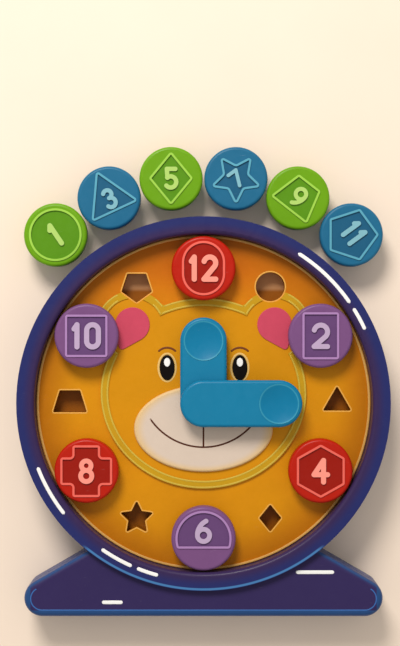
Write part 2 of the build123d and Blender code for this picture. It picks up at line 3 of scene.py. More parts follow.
import bpy
import numpy as np
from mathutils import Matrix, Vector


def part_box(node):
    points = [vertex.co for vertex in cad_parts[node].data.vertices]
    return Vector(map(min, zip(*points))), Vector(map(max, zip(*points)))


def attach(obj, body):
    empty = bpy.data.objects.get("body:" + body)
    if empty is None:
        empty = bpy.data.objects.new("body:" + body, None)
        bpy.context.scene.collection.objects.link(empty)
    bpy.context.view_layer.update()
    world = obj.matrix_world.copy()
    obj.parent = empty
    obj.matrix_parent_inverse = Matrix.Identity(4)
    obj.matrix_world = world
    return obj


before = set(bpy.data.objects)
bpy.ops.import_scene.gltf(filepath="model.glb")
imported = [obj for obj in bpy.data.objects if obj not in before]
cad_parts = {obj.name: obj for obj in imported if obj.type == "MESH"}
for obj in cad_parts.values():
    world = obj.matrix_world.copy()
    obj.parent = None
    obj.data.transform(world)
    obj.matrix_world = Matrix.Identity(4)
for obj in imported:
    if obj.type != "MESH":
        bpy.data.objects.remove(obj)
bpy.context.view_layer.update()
mm = 0.001  # every size below is written in millimetres and multiplied by this
print("frame loaded:", len(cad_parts), "nodes")


# Small helpers

def displayColour(red, green, blue):  # a screen colour, 0 to 255, turned into the shader's linear value
    share = np.array([red, green, blue]) / 255
    linear = np.where(share <= 0.04045, share / 12.92, ((share + 0.055) / 1.055) ** 2.4)
    return (*[float(value) for value in linear], 1.0)


def addNode(tree, kind, inputs=None, **settings):
    node = tree.nodes.new(kind)
    for name, value in settings.items():
        setattr(node, name, value)
    for name, value in (inputs or {}).items():
        if isinstance(value, bpy.types.NodeSocket):
            tree.links.new(value, node.inputs[name])
        else:
            node.inputs[name].default_value = value
    return node


def mathNode(tree, operation, first, second=0.0, third=0.0):  # each one a number or a node's output
    return addNode(tree, "ShaderNodeMath", {0: first, 1: second, 2: third}, operation=operation).outputs[0]


def ramp(tree, value, low, high, start=0.0, end=1.0):  # start at low and end at high, smooth in between
    node = addNode(tree, "ShaderNodeMapRange", {
        "Value": value, "From Min": low, "From Max": high, "To Min": start, "To Max": end,
    }, interpolation_type="SMOOTHSTEP")
    return node.outputs["Result"]


def fade(tree, value, between):  # a ramp from 0 to 1 between two lengths in millimetres, a pair (from, to)
    return ramp(tree, value, between[0] * mm, between[1] * mm)


def product(tree, first, *others):
    for other in others:
        first = mathNode(tree, "MULTIPLY", first, other)
    return first


def fromAxis(tree, x, y):  # sqrt(x * x + y * y)
    return mathNode(tree, "SQRT", mathNode(tree, "MULTIPLY_ADD", x, x, mathNode(tree, "MULTIPLY", y, y)))


def mixColour(tree, factor, first, second):
    node = addNode(tree, "ShaderNodeMix", data_type="RGBA")
    for index, value in ((0, factor), (6, first), (7, second)):
        if isinstance(value, bpy.types.NodeSocket):
            tree.links.new(value, node.inputs[index])
        else:
            node.inputs[index].default_value = value
    return node.outputs[2]


def newGroup(name, inputs, outputs):
    group = bpy.data.node_groups.new(name, "ShaderNodeTree")
    for label, kind, value in inputs:
        socket = group.interface.new_socket(name=label, in_out="INPUT", socket_type=kind)
        socket.default_value = value
    for label, kind in outputs:
        group.interface.new_socket(name=label, in_out="OUTPUT", socket_type=kind)
    return group, group.nodes.new("NodeGroupInput"), group.nodes.new("NodeGroupOutput")


# Shared surface effects

skinNoise = {
    "cloud": 38.0, "flow": 240.0, "grain": 2600.0, "flowShare": 0.45, "glossSwing": 0.22,
    "grainRelief": 0.5, "flowRelief": 1.2, "reliefDepth": 0.00006,
}


def makeMouldedSkin(noise):  # colour drift, fine mould grain and uneven gloss of injection-moulded plastic
    group, given, made = newGroup("mouldedSkin", [
        ("Colour", "NodeSocketColor", (0.5, 0.5, 0.5, 1)), ("Drift", "NodeSocketFloat", 0.06),
        ("Gloss", "NodeSocketFloat", 0.36), ("Grain", "NodeSocketFloat", 0.5),
    ], [("Colour", "NodeSocketColor"), ("Roughness", "NodeSocketFloat"), ("Normal", "NodeSocketVector")])
    place = addNode(group, "ShaderNodeTexCoord").outputs["Object"]
    cloud = addNode(group, "ShaderNodeTexNoise", {
        "Vector": place, "Scale": noise["cloud"], "Detail": 4.0, "Roughness": 0.55,
    })
    flow = addNode(group, "ShaderNodeTexNoise", {
        "Vector": place, "Scale": noise["flow"], "Detail": 3.0, "Distortion": 0.8,
    })
    grain = addNode(group, "ShaderNodeTexNoise", {"Vector": place, "Scale": noise["grain"], "Detail": 2.0})
    soft = mathNode(group, "SUBTRACT", cloud.outputs["Fac"], 0.5)
    fine = mathNode(group, "SUBTRACT", flow.outputs["Fac"], 0.5)
    mixed = mathNode(group, "MULTIPLY_ADD", fine, noise["flowShare"], soft)
    bright = mathNode(group, "MULTIPLY_ADD", product(group, mixed, given.outputs["Drift"]), 2.0, 1.0)
    tinted = addNode(group, "ShaderNodeHueSaturation", {"Value": bright, "Color": given.outputs["Colour"]})
    group.links.new(tinted.outputs["Color"], made.inputs["Colour"])
    rough = mathNode(group, "MULTIPLY_ADD", fine, noise["glossSwing"], given.outputs["Gloss"])
    group.links.new(rough, made.inputs["Roughness"])
    waves = product(group, flow.outputs["Fac"], noise["flowRelief"])
    relief = mathNode(group, "MULTIPLY_ADD", grain.outputs["Fac"], noise["grainRelief"], waves)
    bump = addNode(group, "ShaderNodeBump", {
        "Strength": given.outputs["Grain"], "Distance": noise["reliefDepth"], "Height": relief,
    })
    group.links.new(bump.outputs["Normal"], made.inputs["Normal"])
    return group


scuffNoise = {
    "lines": 130.0, "directions": ((0.6, 9.0), (-0.9, 12.0)), "hair": (0.66, 0.72),
    "patches": 55.0, "patchEdge": (0.45, 0.65), "pale": (0.9, 0.88, 0.85, 1), "rougher": 0.35,
}


def makeScuffs(noise):  # short hairline scratches in two directions, paler and rougher than the plastic
    group, given, made = newGroup("scuffs", [
        ("Colour", "NodeSocketColor", (0.5, 0.5, 0.5, 1)), ("Roughness", "NodeSocketFloat", 0.4),
        ("Amount", "NodeSocketFloat", 0.3),
    ], [("Colour", "NodeSocketColor"), ("Roughness", "NodeSocketFloat")])
    place = addNode(group, "ShaderNodeTexCoord").outputs["Object"]
    marks = None
    for turn, stretch in noise["directions"]:
        turned = addNode(group, "ShaderNodeMapping", {
            "Vector": place, "Rotation": (0, 0, turn), "Scale": (1.0, stretch, 1.0),
        })
        lines = addNode(group, "ShaderNodeTexNoise", {
            "Vector": turned.outputs[0], "Scale": noise["lines"], "Detail": 5.0, "Roughness": 0.7,
        })
        hair = ramp(group, lines.outputs["Fac"], *noise["hair"])
        marks = hair if marks is None else mathNode(group, "MAXIMUM", marks, hair)
    patch = addNode(group, "ShaderNodeTexNoise", {"Vector": place, "Scale": noise["patches"], "Detail": 2.0})
    where = ramp(group, patch.outputs["Fac"], *noise["patchEdge"])
    mask = product(group, marks, where, given.outputs["Amount"])
    group.links.new(mixColour(group, mask, given.outputs["Colour"], noise["pale"]), made.inputs["Colour"])
    rough = mathNode(group, "MULTIPLY_ADD", mask, noise["rougher"], given.outputs["Roughness"])
    group.links.new(rough, made.inputs["Roughness"])
    return group


mouldedSkin = makeMouldedSkin(skinNoise)
scuffs = makeScuffs(scuffNoise)
print("shared effects built")


# Materials

def startMaterial(name):
    material = bpy.data.materials.new(name)
    material.use_nodes = True
    tree = material.node_tree
    tree.nodes.clear()
    return material, tree


def objectPlace(tree):
    return addNode(tree, "ShaderNodeSeparateXYZ", {0: addNode(tree, "ShaderNodeTexCoord").outputs["Object"]})


def finishMaterial(tree, shader):
    output = addNode(tree, "ShaderNodeOutputMaterial")
    tree.links.new(shader.outputs[0], output.inputs["Surface"])


def finishPlastic(tree, colour, look):  # runs a colour through the shared effects into one plastic shader
    skin = addNode(tree, "ShaderNodeGroup", node_tree=mouldedSkin)
    worn = addNode(tree, "ShaderNodeGroup", node_tree=scuffs)
    if isinstance(colour, bpy.types.NodeSocket):
        tree.links.new(colour, skin.inputs["Colour"])
    else:
        skin.inputs["Colour"].default_value = colour
    skin.inputs["Drift"].default_value = look.get("drift", 0.06)
    skin.inputs["Gloss"].default_value = look.get("gloss", 0.38)
    skin.inputs["Grain"].default_value = look.get("grain", 0.4)
    worn.inputs["Amount"].default_value = look.get("wear", 0.12)
    tree.links.new(skin.outputs["Colour"], worn.inputs["Colour"])
    tree.links.new(skin.outputs["Roughness"], worn.inputs["Roughness"])
    shader = addNode(tree, "ShaderNodeBsdfPrincipled", {
        "Base Color": worn.outputs["Colour"], "Roughness": worn.outputs["Roughness"],
        "Normal": skin.outputs["Normal"], "IOR": 1.5, "Specular IOR Level": look.get("shine", 0.22),
    })
    finishMaterial(tree, shader)


# each pair of lengths in a look says where a fade starts and where it ends
# edge is a lighter blue painted as a highlight on the roundings of ring and foot
housingLook = {
    "purple": (58, 42, 84), "navy": (40, 46, 104), "edge": (36, 80, 132), "line": (70, 124, 178),
    "side": (38, 58, 118), "gloss": 0.36, "wear": 0.10, "footShare": 0.75, "edgeShare": 0.85,
    "ringRadius": (103.0, 109.5), "ringRound": (108.2, 110.5), "crownRound": (34.0, 32.6),
    "footRadius": (112.03, 112.3), "footRound": (30.0, 28.8),
    "bandX": (103.7, 104.3), "bandY": (-124.2, -124.8),
    "highlightInner": (110.2, 110.7), "highlightOuter": (111.9, 111.5), "highlightY": (-84.0, -88.0), "highlightZ": (30.0, 31.0),
    "wallRadius": (110.5, 111.5), "wallZ": (29.2, 26.6),
}


def makeHousing(look):
    # purple towards the dial, navy outwards and a lighter blue painted as a highlight where the ring and the
    # foot round over
    material, tree = startMaterial("housingNavy")
    x, y, z = objectPlace(tree).outputs
    radius = fromAxis(tree, x, y)
    purple = displayColour(*look["purple"])
    colour = mixColour(tree, fade(tree, radius, look["ringRadius"]), purple, displayColour(*look["navy"]))
    onFoot = fade(tree, radius, look["footRadius"])
    onRing = mathNode(tree, "SUBTRACT", 1.0, onFoot)
    colour = mixColour(tree, product(tree, onFoot, look["footShare"]), colour, purple)
    footEdgeHighlight = product(tree, onFoot, fade(tree, z, look["footRound"]))
    ringEdgeHighlight = product(tree, onRing, fade(tree, radius, look["ringRound"]), fade(tree, z, look["crownRound"]))
    # outside its painted highlight stripe the foot's rounded edge carries the painted highlight as well
    sideBand = fade(tree, mathNode(tree, "ABSOLUTE", x), look["bandX"])
    band = mathNode(tree, "MAXIMUM", sideBand, fade(tree, y, look["bandY"]))
    footEdgeHighlight = mathNode(tree, "MAXIMUM", footEdgeHighlight, product(tree, onFoot, band))
    edge = product(tree, mathNode(tree, "MAXIMUM", footEdgeHighlight, ringEdgeHighlight), look["edgeShare"])
    colour = mixColour(tree, edge, colour, displayColour(*look["edge"]))
    # a paler line painted as a highlight runs along the ring's rounded outer edge where the foot lies below
    # it
    line = product(tree, fade(tree, radius, look["highlightInner"]), fade(tree, radius, look["highlightOuter"]),
                   fade(tree, y, look["highlightY"]), fade(tree, z, look["highlightZ"]))
    colour = mixColour(tree, line, colour, displayColour(*look["line"]))
    # the outer walls run down to the seam in the rear housing's own blue
    wall = product(tree, fade(tree, radius, look["wallRadius"]), fade(tree, z, look["wallZ"]))
    colour = mixColour(tree, wall, colour, displayColour(*look["side"]))
    finishPlastic(tree, colour, look)
    return material


# top and outer are painted shade under the ring, lip a painted highlight, pit painted shade and floor painted
# light
dialLook = {
    "face": (214, 140, 4), "top": (202, 98, 4), "outer": (180, 102, 0), "lip": (216, 166, 92),
    "pit": (150, 86, 12), "floor": (200, 148, 100), "gloss": 0.42, "shine": 0.16, "wear": 0.08, "drift": 0.10,
    "outerShadeShare": 0.8, "topShadeY": (35.0, 98.0), "outerShadeRadius": (74.0, 101.0), "lipHighlightZ": (22.0, 22.5),
    "lipHighlightRadius": (98.8, 99.2), "pitShadeZ": (21.8, 19.0), "upperY": (67.0, 70.0), "litFloorZ": (13.5, 12.2),
}


def makeDial(look):
    # amber, with painted shade towards twelve and the ring, a painted highlight on the raised lip and painted
    # shade down in the sockets
    material, tree = startMaterial("dialAmber")
    x, y, z = objectPlace(tree).outputs
    radius = fromAxis(tree, x, y)
    # painted shade: more orange and darker towards twelve
    colour = mixColour(tree, fade(tree, y, look["topShadeY"]), displayColour(*look["face"]),
                       displayColour(*look["top"]))
    # painted shade: darker towards the ring that stands over the dial's edge
    outer = product(tree, fade(tree, radius, look["outerShadeRadius"]), look["outerShadeShare"])
    colour = mixColour(tree, outer, colour, displayColour(*look["outer"]))
    # painted highlight on the raised lip
    raised = product(tree, fade(tree, z, look["lipHighlightZ"]), fade(tree, radius, look["lipHighlightRadius"]))
    colour = mixColour(tree, raised, colour, displayColour(*look["lip"]))
    # painted shade: darker brown down in the sockets
    colour = mixColour(tree, fade(tree, z, look["pitShadeZ"]), colour, displayColour(*look["pit"]))
    # painted light: the floors of the two upper sockets are paler towards twelve, as if lit there
    upper = product(tree, fade(tree, y, look["upperY"]), fade(tree, z, look["litFloorZ"]))
    colour = mixColour(tree, upper, colour, displayColour(*look["floor"]))
    finishPlastic(tree, colour, look)
    return material


headLook = {
    "face": (212, 141, 4), "rim": (198, 152, 24), "gloss": 0.42, "shine": 0.16, "wear": 0.06,
    "drift": 0.08, "rimZ": (23.1, 23.6),
}


def makeHead(look):  # the sunk face is orange-amber and the raised rim a greener mustard
    material, tree = startMaterial("headAmber")
    raised = fade(tree, objectPlace(tree).outputs[2], look["rimZ"])
    colour = mixColour(tree, raised, displayColour(*look["face"]), displayColour(*look["rim"]))
    finishPlastic(tree, colour, look)
    return material


muzzleLook = {
    "base": (218, 198, 180), "edge": (226, 190, 134), "gloss": 0.45, "wear": 0.05, "drift": 0.05,
    "centreY": -15.7, "halfWide": 42.0, "halfTall": 26.2, "edgeReach": (0.82, 1.0),
}


def makeMuzzle(look):  # cream, warmer towards its rounded edge
    material, tree = startMaterial("muzzleCream")
    x, y, z = objectPlace(tree).outputs
    across = mathNode(tree, "DIVIDE", x, look["halfWide"] * mm)
    fromCentre = mathNode(tree, "SUBTRACT", y, look["centreY"] * mm)
    along = mathNode(tree, "DIVIDE", fromCentre, look["halfTall"] * mm)
    rounding = ramp(tree, fromAxis(tree, across, along), *look["edgeReach"])
    colour = mixColour(tree, rounding, displayColour(*look["base"]), displayColour(*look["edge"]))
    finishPlastic(tree, colour, look)
    return material


# the thin line round the finger spot stands up by rimHeight, and rim is a paler cyan painted there as a
# highlight
handLook = {
    "base": (10, 121, 162), "rim": (56, 150, 178), "gloss": 0.36, "shine": 0.24, "wear": 0.10, "drift": 0.07,
    "rimHeight": 0.35, "rimStart": 0.05, "rimFull": 0.25,
}


def makeHand(name, node, look):  # cyan, with a painted highlight on the thin raised line round the finger spot
    material, tree = startMaterial(name)
    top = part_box(node)[1].z / mm - look["rimHeight"]
    raised = fade(tree, objectPlace(tree).outputs[2], (top + look["rimStart"], top + look["rimFull"]))
    colour = mixColour(tree, raised, displayColour(*look["base"]), displayColour(*look["rim"]))
    finishPlastic(tree, colour, look)
    return material


def makePlain(name, colour, look):
    material, tree = startMaterial(name)
    finishPlastic(tree, displayColour(*colour), look)
    return material


steelLook = {
    "dark": (150, 150, 152), "bright": (205, 205, 208), "speckle": 900.0, "glossFade": (0.3, 0.7),
    "smooth": 0.25, "rough": 0.42,
}


def makeSteel(name, look):  # zinc-plated steel, finely speckled in brightness and gloss
    material, tree = startMaterial(name)
    place = addNode(tree, "ShaderNodeTexCoord").outputs["Object"]
    noise = addNode(tree, "ShaderNodeTexNoise", {"Vector": place, "Scale": look["speckle"], "Detail": 3.0})
    colour = mixColour(tree, noise.outputs["Fac"], displayColour(*look["dark"]),
                       displayColour(*look["bright"]))
    rough = ramp(tree, noise.outputs["Fac"], *look["glossFade"], look["smooth"], look["rough"])
    finishMaterial(tree, addNode(tree, "ShaderNodeBsdfPrincipled", {
        "Base Color": colour, "Metallic": 1.0, "Roughness": rough,
    }))
    return material


tints = {
    "red": {
        "base": (186, 28, 6), "panel": (156, 24, 8),
        "outline": (238, 104, 90), "figure": (252, 152, 134),
    },
    "purple": {
        "base": (122, 80, 128), "panel": (104, 70, 118),
        "outline": (172, 130, 182), "figure": (190, 166, 196),
    },
    "green": {
        "base": (108, 162, 14), "panel": (90, 146, 18),
        "outline": (160, 208, 76), "figure": (178, 212, 110),
    },
    "blue": {
        "base": (32, 106, 142), "panel": (30, 94, 128),
        "outline": (92, 166, 188), "figure": (130, 184, 196),
    },
}
# inside the split, measured from a middle that lies a little off the piece's centre, the raised parts are
# the figure, and outside it the outline
numberPieces = {
    1: {"tint": "green", "split": 11.5, "middle": 0.0}, 2: {"tint": "purple", "split": 9.4, "middle": 0.0},
    3: {"tint": "blue", "split": 7.4, "middle": 0.0}, 4: {"tint": "red", "split": 10.5, "middle": 0.0},
    5: {"tint": "green", "split": 8.3, "middle": 0.0}, 6: {"tint": "purple", "split": 8.4, "middle": 4.6},
    7: {"tint": "blue", "split": 6.7, "middle": -0.4}, 8: {"tint": "red", "split": 8.6, "middle": 0.0},
    9: {"tint": "green", "split": 7.7, "middle": 0.6}, 10: {"tint": "purple", "split": 10.9, "middle": 0.0},
    11: {"tint": "blue", "split": 9.5, "middle": 1.6}, 12: {"tint": "red", "split": 11.6, "middle": 0.0},
}
# relief is how far outline and figure stand up from the disc's face, and the heights count from that face
pieceLook = {
    "gloss": 0.36, "wear": 0.10, "drift": 0.08, "relief": 0.6, "splitBlur": 0.2,
    "raisedHeight": (0.15, 0.4), "sunkHeight": (-0.05, -0.25), "panelFloor": (-1.5, -1.0),
    "panelFacing": (0.93, 0.97), "turns": {1: 34, 3: 25, 5: 0, 7: 36, 9: -38, 11: -54},
}


def makeNumber(number, piece, look):
    # the raised outline and figure are paler than the disc, and the sunk panel between them a little darker
    low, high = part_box(f"number_piece_{number}")
    top = high.z / mm - look["relief"]
    tint = tints[piece["tint"]]
    turn = math.radians(look["turns"].get(number, 0))
    centreX = (low.x + high.x) / 2 - math.sin(turn) * piece["middle"] * mm
    centreY = (low.y + high.y) / 2 + math.cos(turn) * piece["middle"] * mm
    material, tree = startMaterial(f"numberPiece{number}")
    coordinates = addNode(tree, "ShaderNodeTexCoord")
    x, y, z = addNode(tree, "ShaderNodeSeparateXYZ", {0: coordinates.outputs["Object"]}).outputs
    facing = addNode(tree, "ShaderNodeSeparateXYZ", {0: coordinates.outputs["Normal"]}).outputs[2]
    awayX = mathNode(tree, "SUBTRACT", x, centreX)
    awayY = mathNode(tree, "SUBTRACT", y, centreY)
    blur = look["splitBlur"]
    figure = fade(tree, fromAxis(tree, awayX, awayY), (piece["split"] + blur, piece["split"] - blur))
    paler = mixColour(tree, figure, displayColour(*tint["outline"]), displayColour(*tint["figure"]))
    raised, sunk, floor = (fade(tree, z, [top + height for height in look[part]])
                           for part in ("raisedHeight", "sunkHeight", "panelFloor"))
    panel = product(tree, sunk, ramp(tree, facing, *look["panelFacing"]), floor)
    colour = mixColour(tree, panel, displayColour(*tint["base"]), displayColour(*tint["panel"]))
    colour = mixColour(tree, raised, colour, paler)
    finishPlastic(tree, colour, look)
    return material


def dress(node, material):
    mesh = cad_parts[node].data
    mesh.materials.clear()
    mesh.materials.append(material)


nylonWhite = makePlain("nylonWhite", (226, 222, 210), {"gloss": 0.5, "wear": 0.05})
zincSteel = makeSteel("zincSteel", steelLook)
earPink = makePlain("earPink", (205, 72, 96), {"gloss": 0.42, "drift": 0.10, "wear": 0.05})
eyeBlack = makePlain("eyeBlack", (16, 10, 8), {"gloss": 0.46, "shine": 0.14, "wear": 0.03})

dress("front_bezel", makeHousing(housingLook))
dress("rear_housing", makePlain("rearNavy", housingLook["side"], housingLook))
dress("dial_plate", makeDial(dialLook))
dress("bear_head", makeHead(headLook))
dress("muzzle", makeMuzzle(muzzleLook))
dress("hour_hand", makeHand("hourCyan", "hour_hand", handLook))
dress("minute_hand", makeHand("minuteCyan", "minute_hand", handLook))
for side in ("left", "right"):
    dress(side + "_inner_ear", earPink)
    dress(side + "_eye", eyeBlack)
for node in ("hub_bush", "friction_washer", "hour_retaining_ring"):
    dress(node, nylonWhite)
for node in ("spindle_washer", "spindle_screw", "housing_screws"):
    dress(node, zincSteel)
for number, piece in numberPieces.items():
    dress(f"number_piece_{number}", makeNumber(number, piece, pieceLook))
print("CAD nodes dressed")


# Printed films, some of them painted highlights: an arched strip carried along a path that lies on a flat
# face

film = {"sides": 10, "sunk": 0.03}  # corners round the strip, and how far its underside goes into the face


def filmStrip(name, path, halfWidths, level, rise, material, closed=False):
    # point = path + across * halfWidth * cos(t) at the height level + rise * sin(t), or just below the face
    # where sin(t) isn't above 0
    path = np.asarray(path, float)
    halfWidths = np.broadcast_to(np.asarray(halfWidths, float), (len(path),))
    if closed:
        ahead = np.roll(path, -1, axis=0) - np.roll(path, 1, axis=0)
    else:
        ahead = np.gradient(path, axis=0)
    ahead /= np.linalg.norm(ahead, axis=1)[:, None]
    across = np.stack([-ahead[:, 1], ahead[:, 0]], axis=1)
    sides = film["sides"]
    turns = np.arange(sides) / sides * 2 * np.pi
    sideways = np.cos(turns)[None, :] * halfWidths[:, None]
    points = np.empty((len(path), sides, 3))
    points[..., :2] = path[:, None, :] + across[:, None, :] * sideways[..., None]
    points[..., 2] = level + np.where(np.sin(turns) > 0, rise * np.sin(turns), -film["sunk"])
    row, column = np.meshgrid(np.arange(len(path) if closed else len(path) - 1), np.arange(sides),
                              indexing="ij")
    nextRow, nextColumn = (row + 1) % len(path), (column + 1) % sides
    faces = np.stack([row * sides + column, nextRow * sides + column, nextRow * sides + nextColumn,
                      row * sides + nextColumn], axis=-1).reshape(-1, 4).tolist()
    if not closed:
        last = (len(path) - 1) * sides
        faces.append(list(range(sides)))
        faces.append([last + index for index in reversed(range(sides))])
    mesh = bpy.data.meshes.new(name)
    mesh.from_pydata((points.reshape(-1, 3) * mm).tolist(), [], faces)
    mesh.polygons.foreach_set("use_smooth", [True] * len(mesh.polygons))
    mesh.materials.append(material)
    mesh.update()
    piece = bpy.data.objects.new(name, mesh)
    bpy.context.scene.collection.objects.link(piece)
    return piece


def roundEnds(path, halfWidth):
    # half width = halfWidth * sqrt(1 - s * s), where s goes from 0 one halfWidth from an end to 0.98 at it
    steps = np.linalg.norm(np.diff(path, axis=0), axis=1)
    along = np.concatenate([[0], np.cumsum(steps)])
    toEnd = np.minimum(along, along[-1] - along)
    inside = np.clip(1 - toEnd / halfWidth, 0, 0.98)
    return halfWidth * np.sqrt(1 - inside ** 2)


def arcPath(centre, radius, start, end, count=40):  # centre + radius * (cos, sin), from one angle to another
    angles = np.radians(np.linspace(start, end, count))
    return np.stack([centre[0] + radius * np.cos(angles), centre[1] + radius * np.sin(angles)], axis=1)


# white print for the dashes on ring and foot and for the eye glints, all painted highlights
printedHighlightWhite = makePlain("printedHighlightWhite", (250, 248, 244), {"gloss": 0.5, "wear": 0.03, "drift": 0.03})
highlightBlue = makePlain("highlightBlue", (58, 108, 176), {"gloss": 0.42, "wear": 0.05})
printBrown = makePlain("printBrown", (92, 44, 24), {"gloss": 0.5, "wear": 0.03})
browBrown = makePlain("browBrown", (120, 62, 22), {"gloss": 0.5, "wear": 0.03})
printCream = makePlain("printCream", (232, 190, 112), {"gloss": 0.5, "wear": 0.03})
printLime = makePlain("printLime", (206, 176, 66), {"gloss": 0.45, "wear": 0.03})

# white dashes printed on the ring and the foot as painted highlights
highlightDashes = {
    "ringLevel": 34.0, "footLevel": 30.0, "radius": 106.2, "halfWidth": 1.15, "rise": 0.12,
    "arcs": [(57.8, 34.4), (32.4, 24.6), (201.0, 218.5), (235.0, 246.2), (248.0, 255.2)],
    "bars": [((-61.0, -119.6), (-48.5, -119.6)), ((55.5, -101.5), (78.5, -101.5))],
}
ringRoutes = [arcPath((0, 0), highlightDashes["radius"], start, end) for start, end in highlightDashes["arcs"]]
footRoutes = [np.linspace(start, end, 40) for start, end in highlightDashes["bars"]]
for place, routes in (("ring", ringRoutes), ("foot", footRoutes)):
    for index, route in enumerate(routes):
        widths = roundEnds(route, highlightDashes["halfWidth"])
        strip = filmStrip(f"{place}_dash_{index + 1}", route, widths, highlightDashes[place + "Level"], highlightDashes["rise"],
                          printedHighlightWhite)
        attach(strip, "housing")

# a light-blue stripe painted as a highlight just inside the foot's rounded front edge
highlight_stripe = {
    "halfWidth": 0.35, "rise": 0.08, "inset": 4.2, "footHalf": 108.0, "footBottom": -128.5, "endRadius": 11.0,
}
endX = highlight_stripe["footHalf"] - highlight_stripe["endRadius"]
endY = highlight_stripe["footBottom"] + highlight_stripe["endRadius"]
bend = highlight_stripe["endRadius"] - highlight_stripe["inset"]
footRoute = np.concatenate([
    arcPath((-endX, endY), bend, 120, 270, 30), arcPath((endX, endY), bend, -90, 60, 30),
])
footHighlight = filmStrip("foot_pinstripe", footRoute, highlight_stripe["halfWidth"], highlightDashes["footLevel"],
                     highlight_stripe["rise"], highlightBlue)
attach(footHighlight, "housing")
print("housing prints laid")

# levels are the flat faces that the prints lie on, and rises how thick the prints are
face = {
    "level": 23.0, "eyeX": 22.0, "eyeY": 21.2, "eyeHalfWide": 4.5, "eyeHalfTall": 7.6,
    "haloWidth": 0.7, "haloRise": 0.12, "eyeTop": 23.9, "glintUp": 3.2, "glintHalfTall": 2.6,
    "glintHalfWide": 2.0, "browY": 33.2, "browHalf": 5.4, "browDrop": 2.4, "browHalfWidth": 0.68,
    "browRise": 0.1, "mouthLevel": 24.5, "mouthHalf": 32.0, "cornerY": -10.0, "bottomY": -26.9,
    "mouthHalfWidth": 0.52, "mouthRise": 0.2, "lipTop": -9.6, "lipRise": 0.19,
}


def ellipsePath(ellipse, grow, count=360):  # centre + (half size + grow) * (cos, sin), once round
    turns = np.linspace(0, 2 * np.pi, count, endpoint=False)
    return np.stack([ellipse[0] + (ellipse[2] + grow) * np.cos(turns),
                     ellipse[1] + (ellipse[3] + grow) * np.sin(turns)], axis=1)


def circleThrough(half, drop):
    # radius and half angle of the arc over a chord 2 * half long whose middle lies drop away from the chord
    radius = (half ** 2 + drop ** 2) / (2 * drop)
    return radius, math.degrees(math.asin(half / radius))


for side, sign in (("left", -1), ("right", 1)):
    eye = (sign * face["eyeX"], face["eyeY"], face["eyeHalfWide"], face["eyeHalfTall"])
    haloRoute = ellipsePath(eye, face["haloWidth"], 72)
    halo = filmStrip(side + "_eye_halo", haloRoute, face["haloWidth"], face["level"], face["haloRise"],
                     printCream, closed=True)
    glintX, glintY = sign * face["eyeX"], face["eyeY"] + face["glintUp"]
    glintHalf = face["glintHalfTall"]
    glintRoute = np.linspace((glintX, glintY - glintHalf), (glintX, glintY + glintHalf), 24)
    glintShape = roundEnds(glintRoute, glintHalf) * face["glintHalfWide"] / glintHalf
    glint = filmStrip(side + "_eye_glint", glintRoute, glintShape, face["eyeTop"], face["haloRise"],
                      printedHighlightWhite)
    browRadius, browAngle = circleThrough(face["browHalf"], face["browDrop"])
    browCentre = (sign * face["eyeX"], face["browY"] - browRadius)
    browRoute = arcPath(browCentre, browRadius, 90 + browAngle, 90 - browAngle)
    browWidths = roundEnds(browRoute, face["browHalfWidth"])
    brow = filmStrip(side + "_eyebrow", browRoute, browWidths, face["level"], face["browRise"], browBrown)
    for strip in (halo, glint, brow):
        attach(strip, "housing")

smileRadius, smileAngle = circleThrough(face["mouthHalf"], face["cornerY"] - face["bottomY"])
smileRoute = arcPath((0, face["bottomY"] + smileRadius), smileRadius, 270 - smileAngle, 270 + smileAngle, 80)
smileWidths = roundEnds(smileRoute, face["mouthHalfWidth"])
smile = filmStrip("smile_line", smileRoute, smileWidths, face["mouthLevel"], face["mouthRise"], printBrown)
lipRoute = np.linspace((0, face["lipTop"]), (0, face["bottomY"]), 20)
lipLine = filmStrip("lip_line", lipRoute, face["mouthHalfWidth"], face["mouthLevel"], face["lipRise"],
                    printBrown)
for strip in (smile, lipLine):
    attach(strip, "housing")
print("face prints laid")

# ellipses are (centre x, centre y, half width, half height) and the pocket's two ends (x, y, radius)
headLine = {
    "level": 23.6, "halfWidth": 0.5, "rise": 0.1, "inset": 0.7, "outer": (0, 5.6, 62.3, 57.7),
    "inner": (0, 5.6, 57.5, 52.8), "earX": 42.6, "earY": 45.4, "earRadius": 22.4, "earRim": 4.6,
    "pocket": ((43.0, 47.2, 11.6), (49.2, 34.4, 3.4)), "circle": 81.0, "holeClear": 1.7,
    "holes": {1: (8.8, 8.8), 2: (6.3, 8.3), 10: (7.1, 7.1), 11: (9.3, 9.0)},
}


def insideEllipse(points, ellipse, grow):
    x, y, halfWide, halfTall = ellipse
    return ((points[:, 0] - x) / (halfWide + grow)) ** 2 + ((points[:, 1] - y) / (halfTall + grow)) ** 2 < 1


def insidePocket(points, pocket, side, grow):  # in any of the circles from its round end to its tip
    (startX, startY, startRadius), (endX, endY, endRadius) = pocket
    inside = np.zeros(len(points), bool)
    for share in np.linspace(0, 1, 12):
        centre = np.array([side * (startX + share * (endX - startX)), startY + share * (endY - startY)])
        radius = startRadius + share * (endRadius - startRadius) + grow
        inside |= np.linalg.norm(points - centre, axis=1) < radius
    return inside


def nearHole(points, look):  # in the box round one of the holes that cut into the head
    near = np.zeros(len(points), bool)
    for number, halfSizes in look["holes"].items():
        turn = math.radians(90 - 30 * number)
        away = np.abs(points - look["circle"] * np.array([math.cos(turn), math.sin(turn)]))
        near |= (away < np.array(halfSizes) + look["holeClear"]).all(axis=1)
    return near


def openRuns(points, keep):  # the stretches of a closed path whose points are all kept
    if keep.all():
        return [np.concatenate([points, points[:1]])]
    start = int(np.argmin(keep))
    points, keep = np.roll(points, -start, axis=0), np.roll(keep, -start)
    runs, run = [], []
    for point, kept in zip(points, keep):
        if kept:
            run.append(point)
        else:
            runs.append(run)
            run = []
    runs.append(run)
    return [np.array(stretch) for stretch in runs if len(stretch) > 3]  # shorter ones are too small to see


